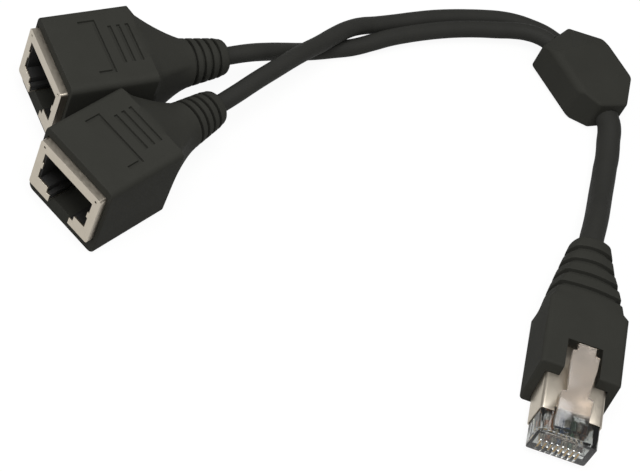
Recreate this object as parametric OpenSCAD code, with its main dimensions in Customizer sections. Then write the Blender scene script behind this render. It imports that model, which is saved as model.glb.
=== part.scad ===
// Network splitter lead: two shielded eight-way sockets, a moulded junction and one shielded plug.
// The origin is the centre of the junction's underside. +Z is up and the sockets open towards -Y.

/* [Socket housing] */
// Width of each socket housing
jack_w = 17.6; // [17.4:0.1:20]
// Height of each socket housing
jack_h = 18; // [17:0.1:20]
// Length of the straight part of the housing
jack_body_l = 17; // [16.5:0.1:24]
// Length of the part that narrows to the cable
jack_taper_l = 10; // [6:0.1:14]
// Rounding of the housing's long edges
jack_edge_r = 1.2; // [0.4:0.1:2]

/* [Top marks] */
// Depth of the moulded lines on the top face
mark_cut = 0.4; // [0.2:0.05:0.8]
// Width of the moulded lines on the top face
mark_w = 0.6; // [0.3:0.05:1]
// Width of the bracket
bracket_w = 12; // [9:0.1:14]
// Distance from the housing's front to the bracket
bracket_y = 9; // [6:0.1:9]
// Length of the bracket's legs
bracket_leg = 3.2; // [1.6:0.1:5]
// Width of the grip lines
grip_w = 8.4; // [6:0.1:12]
// Spacing of the grip lines
grip_pitch = 1.7; // [1.2:0.1:2.2]

/* [Cable relief] */
// Diameter of the ribbed relief where it leaves the housing
relief_d = 9.4; // [7.5:0.1:10]
// Diameter of the ribbed relief at the cable
relief_end_d = 7; // [6.4:0.1:8.6]
// Length of the ribbed relief
relief_l = 9; // [8:0.1:16]
// Number of grooves round the relief
relief_grooves = 4; // [2:1:5]
// Width of each groove round the relief
relief_groove_w = 0.75; // [0.6:0.05:1]
// Depth of each groove round the relief
relief_groove_cut = 0.6; // [0.3:0.05:1]

/* [Socket shield] */
// Outer width of the folded shield
shell_w = 15.8; // [15:0.1:16.4]
// Outer height of the folded shield
shell_h = 12.4; // [11.8:0.1:13.4]
// Depth of the folded shield
shell_l = 15.5; // [15:0.1:16.4]
// Sheet thickness of the shield
shell_t = 0.3; // [0.2:0.05:0.4]
// How far the shield stands out of the housing
shell_out = 1.4; // [0.6:0.1:2]
// How far the shield's centre lies above the housing's centre
shell_rise = 0.8; // [0:0.05:1.2]
// Rounding of the shield's folds
shell_fold_r = 0.6; // [0.4:0.05:0.9]

/* [Plug opening] */
// Width of the plug opening
port_w = 11.9; // [11.8:0.05:12.4]
// Height of the plug opening above the latch slot
port_h = 7; // [6.8:0.05:7.4]
// Thickness of the insert behind the plug opening
port_wall = 2.1; // [1.2:0.05:2.6]
// Shield border above the plug opening
port_top = 2.3; // [2:0.05:2.6]
// Width of the upper step of the latch slot
latch_step_w = 7.2; // [6.6:0.1:8]
// Height of the upper step of the latch slot
latch_step_h = 1.4; // [1:0.05:1.6]
// Width of the latch slot at the shield's edge
latch_slot_w = 5.4; // [4.6:0.1:6.2]

/* [Contacts] */
// Spacing of the eight contacts
pin_pitch = 1.02; // [1:0.01:1.06]
// Width of each spring contact
pin_w = 0.45; // [0.3:0.05:0.55]
// Thickness of each spring contact
pin_t = 0.3; // [0.2:0.05:0.4]
// How far the spring contacts hang into the opening
pin_drop = 2.1; // [1.6:0.1:2.3]
// Height of the contact slots above the opening
pin_room = 0.9; // [0.7:0.05:1.1]
// Distance from the housing's front to the contacts' front bend
pin_front = 2.4; // [1.8:0.1:3]

/* [Inner mould] */
// Width of the inner mould
mould_w = 11; // [9:0.1:13]
// Height of the inner mould
mould_h = 8.5; // [7:0.1:10]
// Length of the inner mould
mould_l = 4; // [2:0.1:6]

/* [Junction] */
// Width of the junction across the cables
block_w = 14; // [12:0.1:16]
// Height of the junction
block_h = 9; // [8.4:0.1:12]
// Distance from the origin to the full-width part's end towards the branch cables
block_mid_in = 5.8; // [4:0.1:7]
// How far its two corners lie ahead of and behind that distance
block_skew = 3; // [0:0.1:4]
// Distance from the origin to the full-width part's end towards the trunk cable
block_mid_out = 4.7; // [3:0.1:6]
// Distance from the origin to where the top starts to fall towards the branch cables
block_crest = 5; // [0:0.1:6]
// Width of the end face at the two branch cables
block_in_w = 8.2; // [7.6:0.1:10]
// Height of the end face at the two branch cables
block_in_h = 5.9; // [5.8:0.1:8]
// Width of the end face at the trunk cable
block_out_w = 6.4; // [5.6:0.1:9]
// Height of the end face's upper edge at the trunk cable
block_out_h = 8; // [7:0.1:8.4]
// Bevel along the junction's long edges
block_bevel = 0.9; // [0.4:0.1:1.6]

/* [Cables] */
// Diameter of each branch cable
branch_d = 3.5; // [3:0.05:3.6]
// Diameter of the trunk cable
trunk_d = 4.8; // [4:0.1:5.4]

/* [Plug] */
// Width of the clear plug body
plug_w = 11.4; // [11:0.05:11.5]
// Height of the clear plug body
plug_h = 6.3; // [6:0.05:6.4]
// Length of the clear plug body
plug_l = 21.5; // [20:0.1:23]
// Width of the latch ahead of its shoulders
latch_w = 6.1; // [5.8:0.05:6.2]
// Width of the latch tongue behind its shoulders
tongue_w = 4; // [3.2:0.05:4.6]
// Width of the latch tongue's finger pad
tongue_pad_w = 5.2; // [4.6:0.05:5.4]
// Width of the latch's rear tip
tongue_tip_w = 3.4; // [2.8:0.05:3.8]
// Thickness of the latch
latch_t = 0.9; // [0.7:0.05:1.1]
// Height of the latch's rear tip above the body
latch_lift = 4.2; // [3:0.1:4.8]
// Distance from the nose to the latch shoulders
latch_shoulder = 8.4; // [8:0.05:8.8]
// Distance from the nose to the latch's rear tip
latch_reach = 18; // [16.5:0.1:18.4]
// Distance from the nose to the plug shield's front edge
sleeve_start = 4.8; // [4.4:0.1:5.4]
// Distance from the nose to the end of the shield's window for the latch
window_end = 5.8; // [5:0.1:9]
// Sheet thickness of the plug shield
sleeve_t = 0.25; // [0.15:0.05:0.3]
// Diameter of each insulated wire in the plug
wire_d = 0.9; // [0.7:0.02:0.94]
// How far the wires lie below the plug's centre
wire_drop = 0.4; // [0:0.05:0.6]
// Height of the wire bay in the plug body
bay_h = 3.4; // [2.6:0.05:3.6]
// Distance from the nose to the wire bay
bay_front = 1.6; // [1.2:0.05:2]
// Thickness of each contact blade
blade_w = 0.35; // [0.25:0.01:0.4]
// Length of each contact blade
blade_l = 3.2; // [2.6:0.05:3.6]
// Distance from the nose to the contact blades
blade_front = 1.4; // [1:0.05:1.6]
// Distance from the nose to the load bar
bar_front = 7; // [5.4:0.1:9]
// Length of the load bar
bar_l = 6; // [4:0.1:8]

/* [Boot] */
// Width of the boot
boot_w = 15.6; // [14.6:0.1:18]
// Height of the boot
boot_h = 10.6; // [10.2:0.1:13]
// Distance from the nose to the boot's front at the surface
boot_front = 10.6; // [9.6:0.1:12]
// How far the boot's top edge lies behind its lower edge
boot_rake = 2.4; // [0:0.1:4]
// Distance from the nose to the boot's cable end
boot_end = 45.7; // [44:0.1:52]
// Width of the boot at the cable end
boot_end_w = 7.8; // [7:0.1:9]
// Distance from the nose to where the boot starts to narrow
boot_shoulder = 28; // [24:0.1:30]
// Width of the notch for the latch
boot_notch_w = 6.8; // [6.2:0.1:8]
// Distance from the nose to the end of the latch notch
boot_notch_end = 19.4; // [18.9:0.1:22]
// Number of grooves across the boot
boot_grooves = 4; // [2:1:5]
// Width of each groove across the boot
boot_groove_w = 1.4; // [0.8:0.05:1.6]
// Depth of each groove across the boot
boot_groove_cut = 0.65; // [0.3:0.05:0.9]

/* [Fits] */
// Gap between pieces that are moulded or pressed together
fit = 0.05; // [0.02:0.01:0.08]
// Gap round each contact and wire
slip = 0.08; // [0.04:0.01:0.1]

/* [Hidden] */

SHEATH = "#262624";
STEEL = "#c8beb0";
INSERT = "#161616";
GOLD = "#c9a24a";
NATURAL = "#d8d4c8";
CLEAR = "#cfd6d8";
WIRE = "#7a4a3a";

PINS = 8;
FINE = 48;
CORNER_STEPS = 6;
BITE = 0.02;

// Turns about Z: 0 leaves the cable heading along +Y
TURN_A = 10;
TURN_B = -10;
TURN_PLUG = 44;
TURN_BLOCK = -5;
// Headings in plan of the cables where they enter and leave the junction
TURN_IN = 15;
TURN_OUT = -18;

// Heights of the cable exits and of the plug's centre above the surface
exit_z = 9;
boot_exit_z = 5.3;
plug_z = 4.75;

// Centre line of the branch cable from the nearer socket, which first lies on the other cable
ROUTE_A = [
    [-19.55, -81.65, 9], [-20.6, -76.4, 9.1], [-21.9, -70.9, 9], [-23.2, -65.5, 8.5],
    [-24.5, -60.5, 7.8], [-25.7, -55.7, 6.9], [-26.7, -51.2, 6], [-27.7, -46.8, 5.5],
    [-28.5, -42.5, 4.8], [-29, -38.3, 3.5], [-28.8, -33.9, 2.3], [-28.2, -29.5, 1.8],
    [-27.3, -25.1, 1.8], [-26.3, -20.8, 1.8], [-25.1, -16.8, 1.8], [-23.7, -12.9, 1.8],
    [-22.3, -9.4, 1.8], [-20.8, -6.2, 1.8], [-18.9, -3.3, 1.8], [-16.6, -0.9, 1.8],
    [-14, 0.9, 2], [-11.1, 2, 2.2]
];
// Centre line of the branch cable from the farther socket, raised against the other at the junction
ROUTE_B = [
    [-29.11, -73.71, 9], [-28.4, -68.6, 8.7], [-28.1, -63.4, 7.2], [-28.2, -58.5, 5],
    [-28.3, -54.2, 3], [-27.8, -50.1, 2], [-26.9, -45.9, 1.8], [-25.9, -41.8, 1.9],
    [-25.3, -37.6, 2.3], [-24.9, -33.4, 2.5], [-24.3, -29.2, 2.5], [-23.4, -24.9, 2.6],
    [-22.3, -20.7, 2.7], [-21, -16.7, 2.8], [-19.5, -12.9, 2.9], [-18, -9.6, 3],
    [-16.6, -6.6, 3.2], [-14.9, -4.1, 3.5], [-12.7, -2.2, 3.8], [-10.27, -1.1, 4]
];
// Centre line of the trunk cable from the junction to the plug's boot
ROUTE_TRUNK = [
    [9.8, -1.8, 4], [11.5, -2.5, 3.9], [13.1, -3.6, 3.7], [14.6, -4.9, 3.3],
    [16.2, -6.2, 3], [17.9, -7.8, 2.8], [19.5, -9.6, 2.7], [21.2, -11.4, 2.7],
    [22.8, -13.2, 2.8], [24.4, -15.1, 3.1], [26, -17, 3.5], [27.5, -18.9, 4.1],
    [29.2, -21, 4.6], [31, -23.3, 5], [32.8, -25.6, 5.2], [34.6, -27.7, 5.3]
];

jack_l = jack_body_l + jack_taper_l + relief_l;
shell_z = jack_h / 2 + shell_rise - shell_h / 2;
port_roof = shell_z + shell_h - port_top;
port_floor = port_roof - port_h;
shell_in_w = shell_w - 2 * shell_t;
shell_in_h = shell_h - 2 * shell_t;
insert_front = -shell_out + shell_t + fit;
insert_back = shell_l - shell_out;
port_depth = insert_back - insert_front - port_wall;
port_back = insert_front + port_depth;
mould_z = shell_z + (shell_h - mould_h) / 2;
plug_floor = plug_z - plug_h / 2;
plug_roof = plug_z + plug_h / 2;
wire_z = plug_z - wire_drop;
bay_w = PINS * pin_pitch + 1.2;
blade_z = plug_floor + 0.35;

// Outline of a rectangle with rounded corners, centred on x and standing on y = 0
function rounded(w, h, r) = [
    for (corner = [[w / 2 - r, r, -90], [w / 2 - r, h - r, 0], [r - w / 2, h - r, 90], [r - w / 2, r, 180]])
        for (i = [0 : CORNER_STEPS])
            [corner[0] + r * cos(corner[2] + 90 * i / CORNER_STEPS),
             corner[1] + r * sin(corner[2] + 90 * i / CORNER_STEPS)]
];

// Radius of a superellipse with half axes a and b at an angle; a power of 2 gives an ellipse
function oval_r(a, b, p, angle) =
    pow(pow(abs(cos(angle)) / a, p) + pow(abs(sin(angle)) / b, p), -1 / p);

// Points of one superellipse ring across the y axis: [y, half width, half height, centre z, power]
function ring(s, sides) = [
    for (i = [0 : sides - 1])
        let (angle = -360 * (i + 0.5) / sides, r = oval_r(s[1], s[2], s[4], angle))
            [r * cos(angle), s[0], s[3] + r * sin(angle)]
];

// Solid through a list of rings that each have the same number of points
module skin(rings) {
    n = len(rings[0]);
    last = (len(rings) - 1) * n;
    sides = [
        for (k = [0 : len(rings) - 2], i = [0 : n - 1])
            [k * n + i, (k + 1) * n + i, (k + 1) * n + (i + 1) % n, k * n + (i + 1) % n]
    ];
    caps = [[for (i = [0 : n - 1]) i], [for (i = [n - 1 : -1 : 0]) last + i]];
    polyhedron(points = [for (r = rings) each r], faces = concat(sides, caps), convexity = 6);
}

function unit(v) = v / norm(v);

// Directions of a route at each of its points, with both ends given
function headings(route, first, final) = [
    for (i = [0 : len(route) - 1])
        i == 0 ? first : i == len(route) - 1 ? final : unit(route[i + 1] - route[i - 1])
];

// Tube of diameter d along a route that never runs upright
module tube(route, d, sides, first, final) {
    ways = headings(route, first, final);
    skin([
        for (i = [0 : len(route) - 1])
            let (side = unit(cross(ways[i], [0, 0, 1])), up = cross(side, ways[i]))
                [for (j = [0 : sides - 1])
                    route[i] + d / 2 * (cos(360 * j / sides) * up + sin(360 * j / sides) * side)]
    ]);
}

// Extrudes a shape drawn in x and z along +Y
module along_y(l) {
    rotate([90, 0, 0]) mirror([0, 0, 1]) linear_extrude(l) children();
}

// Box from a lower corner with its x range centred
module slab(w, y, l, z, h) {
    translate([-w / 2, y, z]) cube([w, l, h]);
}

// Places a socket so that its relief ends where its cable starts
module at_jack(route, turn) {
    translate([route[0][0], route[0][1], 0]) rotate(turn) translate([0, -jack_l, 0]) children();
}

// Places the plug so that its boot ends where the trunk cable ends
module at_plug() {
    end = ROUTE_TRUNK[len(ROUTE_TRUNK) - 1];
    translate([end[0], end[1], 0]) rotate(TURN_PLUG) translate([0, -boot_end, 0]) children();
}

// Narrowing part of the housing, from the square body to the round relief
module housing_taper() {
    steps = 8;
    lap = 0.5;
    low = exit_z;
    skin([
        for (i = [0 : steps])
            let (
                t = i / steps,
                flare = 1 - pow(1 - t, 1.4),
                a = jack_w / 2 - BITE + (relief_d / 2 - jack_w / 2) * flare,
                b = jack_h / 2 - BITE + (relief_d / 2 - jack_h / 2) * flare,
                z = jack_h / 2 + (low - jack_h / 2) * flare
            )
                ring([jack_body_l - lap + (jack_taper_l + lap) * t, a, b, z, 12 - 10 * pow(t, 0.5)], 40)
    ]);
}

// Half profile of the ribbed relief: radius against distance from the housing
function relief_profile() =
    let (
        dome = 1.2,
        gap = (relief_l - dome) / (relief_grooves + 0.5),
        fall = (relief_d - relief_end_d) / 2 / relief_l
    )
    concat(
        [[0, -1], [relief_d / 2 - 0.3, -1]],
        [for (i = [0 : relief_grooves - 1], edge = [0 : 3])
            let (
                y = gap * (i + 0.5) + (edge < 2 ? 0 : relief_groove_w) + (edge == 1 ? 0.15 : edge == 2 ? -0.15 : 0),
                cut = edge == 0 || edge == 3 ? 0 : relief_groove_cut
            )
                [relief_d / 2 - fall * y - cut, y]],
        [for (i = [0 : 5])
            [relief_end_d / 2 - dome + dome * cos(18 * i), relief_l - dome + dome * sin(18 * i)]],
        [[0, relief_l]]
    );

module relief() {
    translate([0, jack_body_l + jack_taper_l, exit_z])
        rotate([-90, 0, 0])
            rotate_extrude($fn = FINE) polygon(relief_profile());
}

// Moulded bracket and grip lines on the top face
module top_marks() {
    z = jack_h - mark_cut;
    deep = mark_cut + 1;
    slab(bracket_w, bracket_y, mark_w, z, deep);
    for (side = [-1, 1])
        translate([side * (bracket_w - mark_w) / 2, 0, 0])
            slab(mark_w, bracket_y + mark_w - bracket_leg, bracket_leg, z, deep);
    for (i = [1 : 3])
        slab(grip_w, bracket_y + 0.9 + grip_pitch * i, mark_w, z, deep);
}

module housing() {
    color(SHEATH) difference() {
        union() {
            along_y(jack_body_l) polygon(rounded(jack_w, jack_h, jack_edge_r));
            housing_taper();
            relief();
        }
        slab(shell_w + 2 * fit, -1, shell_l - shell_out + fit + 1, shell_z - fit, shell_h + 2 * fit);
        slab(mould_w + 2 * fit, 0, insert_back + mould_l + 2 * fit, mould_z - fit, mould_h + 2 * fit);
        top_marks();
    }
}

// Face opening of the shield, with the latch slot cut through its lower edge
module port_face() {
    lip = 0.35;
    tab_h = 1.5;
    tab_z = port_roof - 4.2;
    difference() {
        translate([-port_w / 2 - lip, port_floor]) square([port_w + 2 * lip, port_h]);
        for (side = [-1, 1])
            translate([side * (port_w / 2 + lip) - lip, tab_z]) square([2 * lip, tab_h]);
    }
    translate([-latch_step_w / 2, port_floor - latch_step_h]) square([latch_step_w, latch_step_h + 1]);
    translate([-latch_slot_w / 2, shell_z - 1]) square([latch_slot_w, port_floor - shell_z + 1.5]);
}

module shield() {
    color(STEEL) difference() {
        translate([0, -shell_out, shell_z])
            along_y(shell_l) polygon(rounded(shell_w, shell_h, shell_fold_r));
        translate([0, shell_t - shell_out, shell_z + shell_t])
            along_y(shell_l) polygon(rounded(shell_in_w, shell_in_h, shell_fold_r - shell_t + 0.05));
        translate([0, -shell_out - 1, 0]) along_y(shell_t + 2) port_face();
        for (side = [-1, 1])
            translate([side * (shell_w / 2 - 1.1), -shell_out - 1, shell_z + shell_h - 1.1])
                along_y(shell_t + 2) circle(d = 0.5, $fn = 16);
    }
}

module insert() {
    w = shell_in_w - 2 * fit;
    h = shell_in_h - 2 * fit;
    z = shell_z + shell_t + fit;
    color(INSERT) difference() {
        translate([0, insert_front, z])
            along_y(insert_back - insert_front) polygon(rounded(w, h, shell_fold_r - shell_t + 0.05));
        slab(port_w, insert_front - 1, port_depth + 1, port_floor, port_h);
        slab(latch_step_w, insert_front - 1, port_depth - 2, port_floor - latch_step_h, latch_step_h + 1);
        slab(latch_slot_w, insert_front - 1, port_depth - 4, z - 1, port_floor - z + 1.5);
        for (i = [0 : PINS - 1])
            translate([(i - (PINS - 1) / 2) * pin_pitch, 0, 0]) {
                slab(pin_w + 2 * slip, pin_front - 0.6, insert_back, port_roof - 0.5, pin_room + 0.5);
            }
    }
}

// Side view of one spring contact as points of a strip: y and z
function contact_profile() =
    let (
        top = port_roof + pin_room - slip,
        low = port_roof - pin_drop,
        bend = (top - port_roof + 0.9) / 2,
        centre = [pin_front + bend, top - bend]
    )
    concat(
        [[insert_back, top]],
        [for (i = [0 : 6]) centre + bend * [-sin(30 * i), cos(30 * i)]],
        [[port_back - 3, low], [port_back - 3.1, low + pin_t]],
        [for (i = [5 : -1 : 1]) centre + (bend - pin_t) * [-sin(30 * i), cos(30 * i)]],
        [[pin_front + bend, top - pin_t], [insert_back, top - pin_t]]
    );

module contacts() {
    color(GOLD)
        for (i = [0 : PINS - 1])
            translate([(i - (PINS - 1) / 2) * pin_pitch - pin_w / 2, 0, 0])
                rotate([90, 0, 90]) linear_extrude(pin_w) polygon(contact_profile());
}

module inner_mould() {
    color(NATURAL)
        slab(mould_w, insert_back + fit, mould_l, mould_z, mould_h);
}

module jack_a_housing() { at_jack(ROUTE_A, TURN_A) housing(); }
module jack_a_shield() { at_jack(ROUTE_A, TURN_A) shield(); }
module jack_a_insert() { at_jack(ROUTE_A, TURN_A) insert(); }
module jack_a_contacts() { at_jack(ROUTE_A, TURN_A) contacts(); }
module jack_a_inner_mould() { at_jack(ROUTE_A, TURN_A) inner_mould(); }
module jack_b_housing() { at_jack(ROUTE_B, TURN_B) housing(); }
module jack_b_shield() { at_jack(ROUTE_B, TURN_B) shield(); }
module jack_b_insert() { at_jack(ROUTE_B, TURN_B) insert(); }
module jack_b_contacts() { at_jack(ROUTE_B, TURN_B) contacts(); }
module jack_b_inner_mould() { at_jack(ROUTE_B, TURN_B) inner_mould(); }

function heading(turn) = [cos(turn), sin(turn), 0];

// Point of the junction, given along and across it
function on_block(x, y) = x * heading(TURN_BLOCK) + y * heading(TURN_BLOCK + 90);

// Junction: where its plan outline, its side outline and its bevelled section meet
module junction_block() {
    in = (ROUTE_A[len(ROUTE_A) - 1] + ROUTE_B[len(ROUTE_B) - 1]) / 2;
    out = ROUTE_TRUNK[0];
    in_side = heading(TURN_IN + 90) * block_in_w / 2;
    out_side = heading(TURN_OUT + 90) * block_out_w / 2;
    w = block_w / 2;
    h = block_h;
    c = block_bevel;
    fall = (h - block_in_h) / (norm([in[0], in[1]]) - block_crest);
    far = 2 * block_w;
    plan = [
        in - in_side, on_block(-block_mid_in - block_skew, -w), on_block(block_mid_out, -w), out - out_side,
        out + out_side, on_block(block_mid_out, w), on_block(block_skew - block_mid_in, w), in + in_side
    ];
    color(SHEATH) intersection() {
        linear_extrude(h) polygon([for (p = plan) [p[0], p[1]]]);
        rotate(TURN_BLOCK) translate([0, far, 0]) rotate([90, 0, 0]) linear_extrude(2 * far) polygon([
            [-block_w, 0], [block_mid_out, 0], [out[0], 0.8], [block_w, 0.8],
            [block_w, block_out_h], [out[0], block_out_h], [block_mid_out, h],
            [-block_crest, h], [-block_w, h - fall * (block_w - block_crest)]
        ]);
        rotate(TURN_BLOCK) translate([-far, 0, 0]) rotate([90, 0, 90]) linear_extrude(2 * far) polygon([
            [c - w, 0], [w - c, 0], [w, c], [w, h - c], [w - c, h], [c - w, h], [-w, h - c], [-w, c]
        ]);
    }
}

module branch_cable_a() {
    color(SHEATH) tube(ROUTE_A, branch_d, 12, heading(TURN_A + 90), heading(TURN_IN));
}

module branch_cable_b() {
    color(SHEATH) tube(ROUTE_B, branch_d, 12, heading(TURN_B + 90), heading(TURN_IN));
}

module trunk_cable() {
    color(SHEATH) tube(ROUTE_TRUNK, trunk_d, 12, heading(TURN_OUT), heading(TURN_PLUG - 90));
}

// Rings of the boot: square at the plug, oval and grooved towards the cable
function boot_ring(y, cut) =
    let (
        t = max(0, (y - boot_shoulder) / (boot_end - boot_shoulder)),
        ease = pow(t, 1.15),
        a = boot_w / 2 + (boot_end_w - boot_w) / 2 * ease,
        b = boot_h / 2 + (boot_end_w - boot_h) / 2 * ease
    )
    [y, a - cut, b - cut, boot_exit_z, 7 - 4.4 * min(1, 1.6 * t)];

function boot_rings() =
    let (
        first = boot_shoulder + 3.4,
        pitch = (boot_end - 0.8 - first) / boot_grooves
    )
    concat(
        [boot_ring(boot_front, 0.5), boot_ring(boot_front + 0.5, 0), boot_ring(boot_notch_end + 3, 0),
         boot_ring(boot_shoulder, 0)],
        [for (i = [0 : boot_grooves - 1], edge = [0 : 3])
            boot_ring(first + pitch * i + (edge < 2 ? 0 : boot_groove_w) + (edge == 1 ? 0.3 : edge == 2 ? -0.3 : 0),
                edge == 0 || edge == 3 ? 0 : boot_groove_cut)],
        [boot_ring(boot_end - 1, 0), boot_ring(boot_end - 0.3, 0.35), boot_ring(boot_end, 0.8)]
    );

module boot() {
    color(SHEATH) difference() {
        skin([for (s = boot_rings()) ring(s, 36)]);
        // room for the plug and its shield
        slab(plug_w + 2 * sleeve_t + 4 * fit, 0, plug_l + fit,
             plug_floor - sleeve_t - 2 * fit, plug_h + 2 * sleeve_t + 4 * fit);
        // notch that lets the latch be pressed
        slab(boot_notch_w, 0, boot_notch_end, plug_roof, boot_h);
        // raked front
        translate([0, boot_front, 0]) rotate([-atan(boot_rake / boot_h), 0, 0])
            slab(2 * boot_w, -boot_front, boot_front, -boot_h, 3 * boot_h);
    }
}

// Side view of the latch as a strip that rises from the nose: y and z
function latch_profile() =
    let (
        rise = latch_lift - 0.6,
        run = latch_reach - 3,
        top = [for (i = [0 : 8]) [3 + run * i / 8, plug_roof + 0.6 + rise * pow(i / 8, 0.85)]]
    )
    concat(
        [[1.2, plug_roof - 0.4], [1.8, plug_roof + 0.4]],
        top,
        [for (i = [8 : -1 : 0]) [top[i][0] + (i == 8 ? 0.3 : 0), top[i][1] - latch_t]],
        [[2.6, plug_roof - 0.4]]
    );

// Plan outline of the latch
module latch_plan() {
    polygon([
        [-latch_w / 2, 0], [-latch_w / 2, latch_shoulder], [-tongue_w / 2, latch_shoulder + 0.3],
        [-tongue_pad_w / 2, latch_reach - 4], [-tongue_pad_w / 2, latch_reach - 1.6],
        [-tongue_tip_w / 2, latch_reach - 1.4], [-tongue_tip_w / 2, latch_reach + 1],
        [tongue_tip_w / 2, latch_reach + 1], [tongue_tip_w / 2, latch_reach - 1.4],
        [tongue_pad_w / 2, latch_reach - 1.6], [tongue_pad_w / 2, latch_reach - 4],
        [tongue_w / 2, latch_shoulder + 0.3], [latch_w / 2, latch_shoulder], [latch_w / 2, 0]
    ]);
}

module latch() {
    intersection() {
        linear_extrude(4 * boot_h) latch_plan();
        translate([-latch_w, 0, 0]) rotate([90, 0, 90]) linear_extrude(2 * latch_w)
            polygon(latch_profile());
    }
}

module plug_body() {
    color(CLEAR) at_plug() {
        difference() {
            along_y(plug_l) translate([0, plug_floor]) polygon(rounded(plug_w, plug_h, 0.5));
            // wire bay, open at the rear
            slab(bay_w, bay_front, plug_l, wire_z - bay_h / 2, bay_h);
            // slots for the contact blades
            for (i = [0 : PINS - 1])
                translate([(i - (PINS - 1) / 2) * pin_pitch, 0, 0])
                    slab(blade_w + 2 * slip, blade_front - slip, blade_l + 2 * slip,
                         plug_floor - 1, wire_z - plug_floor + 1);
        }
        latch();
    }
}

module plug_shield() {
    w = plug_w + 2 * fit;
    h = plug_h + 2 * fit;
    z = plug_floor - fit;
    l = plug_l - sleeve_start - 0.5;
    color(STEEL) at_plug() difference() {
        translate([0, sleeve_start, z - sleeve_t])
            along_y(l) polygon(rounded(w + 2 * sleeve_t, h + 2 * sleeve_t, 0.5 + sleeve_t));
        translate([0, sleeve_start - 1, z]) along_y(l + 2) polygon(rounded(w, h, 0.5));
        // window for the latch
        slab(latch_w + 0.6, 0, window_end, plug_z, plug_h);
    }
}

module plug_contacts() {
    color(GOLD) at_plug()
        for (i = [0 : PINS - 1])
            translate([(i - (PINS - 1) / 2) * pin_pitch, 0, 0])
                slab(blade_w, blade_front, blade_l, blade_z, wire_z - wire_d / 2 - slip - blade_z);
}

module plug_load_bar() {
    color(NATURAL) at_plug() difference() {
        slab(bay_w - 2 * fit, bar_front, bar_l, wire_z - bay_h / 2 + fit, bay_h - 2 * fit);
        for (i = [0 : PINS - 1])
            translate([(i - (PINS - 1) / 2) * pin_pitch, bar_front - 1, wire_z])
                along_y(bar_l + 2) circle(d = wire_d + slip, $fn = 24);
    }
}

module plug_wires() {
    color(WIRE) at_plug()
        for (i = [0 : PINS - 1])
            translate([(i - (PINS - 1) / 2) * pin_pitch, bay_front + 0.2, wire_z])
                along_y(plug_l - bay_front - 0.2) circle(d = wire_d, $fn = 24);
}

module plug_boot() { at_plug() boot(); }

jack_a_housing();
jack_a_shield();
jack_a_insert();
jack_a_contacts();
jack_a_inner_mould();
jack_b_housing();
jack_b_shield();
jack_b_insert();
jack_b_contacts();
jack_b_inner_mould();
branch_cable_a();
branch_cable_b();
junction_block();
trunk_cable();
plug_boot();
plug_body();
plug_shield();
plug_contacts();
plug_load_bar();
plug_wires();
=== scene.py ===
"""Dresses the splitter lead: two shielded sockets, a moulded junction and a booted plug.

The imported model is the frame. Each sub-assembly is a class that builds its pieces on that frame
and gives them their finishes. Lengths in the fields are millimetres and Blender works in metres.
"""

import logging
import math
from collections.abc import Callable
from dataclasses import dataclass, field
from enum import Enum

import bpy
from mathutils import Matrix, Vector


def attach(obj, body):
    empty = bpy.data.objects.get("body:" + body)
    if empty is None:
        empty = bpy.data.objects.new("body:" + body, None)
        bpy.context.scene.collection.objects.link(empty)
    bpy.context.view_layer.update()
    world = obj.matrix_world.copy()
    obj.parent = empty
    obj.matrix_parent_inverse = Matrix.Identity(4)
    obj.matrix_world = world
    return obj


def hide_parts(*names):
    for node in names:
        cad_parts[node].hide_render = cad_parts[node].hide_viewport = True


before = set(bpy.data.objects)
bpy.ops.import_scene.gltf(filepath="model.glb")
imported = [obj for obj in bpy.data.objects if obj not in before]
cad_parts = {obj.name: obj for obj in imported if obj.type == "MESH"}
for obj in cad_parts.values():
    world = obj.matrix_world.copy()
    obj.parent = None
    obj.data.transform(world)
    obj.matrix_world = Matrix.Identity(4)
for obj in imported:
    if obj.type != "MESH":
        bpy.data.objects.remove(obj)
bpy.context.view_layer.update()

# Metres in a millimetre
MM = 0.001
# The model's only body
BODY = "root"
# Distance within which two places are one, and two vertices of a CAD mesh
TOUCH_MM = 0.01
MERGE_MM = 0.002
# Turn between faces of a CAD mesh up to which they are one plane
PLANE_DEG = 0.6
# How far outside a piece its cutters start
CLEAR_MM = 1.0
# Turn from which an edge shows sharp on the drawn mouldings, and on pieces with fewer faces round
# their edges
MOULDED_DEG = 34.0
COARSE_DEG = 40.0
# Range in which most values of a noise node lie
NOISE_RANGE = (0.3, 0.7)
# Bands that a wave node with a Scale of 1 draws in one unit of length
WAVE_BANDS = 3.2
# In half sides of a square ring: how far its mean radius lies beyond the middle of a side, and its
# corners beyond that radius
RADIUS_EXCESS = 0.1478
CORNER_EXCESS = 0.2664

Point = tuple[float, float, float]
# Steps down a wall: distance from its edge, and depth
Wall = tuple[tuple[float, float], ...]

log = logging.getLogger("splitter_lead")


class Slot(Enum):
    """Material slots of the record."""

    OVERMOULD = "overmould"
    JACKET = "cable_jacket"
    SHIELD = "shield"
    INSERT = "insert"
    CONTACTS = "contacts"
    INNER = "inner_mould"
    CLEAR = "clear_plug"
    WIRES = "wires"


def linear(hex_colour: str) -> tuple[float, float, float, float]:
    """Turns an sRGB hex colour into linear light.

    Args:
        hex_colour: Six hex digits after a hash sign.

    Returns:
        Linear red, green and blue, and an alpha of 1.
    """
    channels = [int(hex_colour[i:i + 2], 16) / 255 for i in (1, 3, 5)]
    # The sRGB curve: a straight foot, then a power
    light = [c / 12.92 if c <= 0.04045 else ((c + 0.055) / 1.055) ** 2.4 for c in channels]
    return (light[0], light[1], light[2], 1.0)


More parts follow.
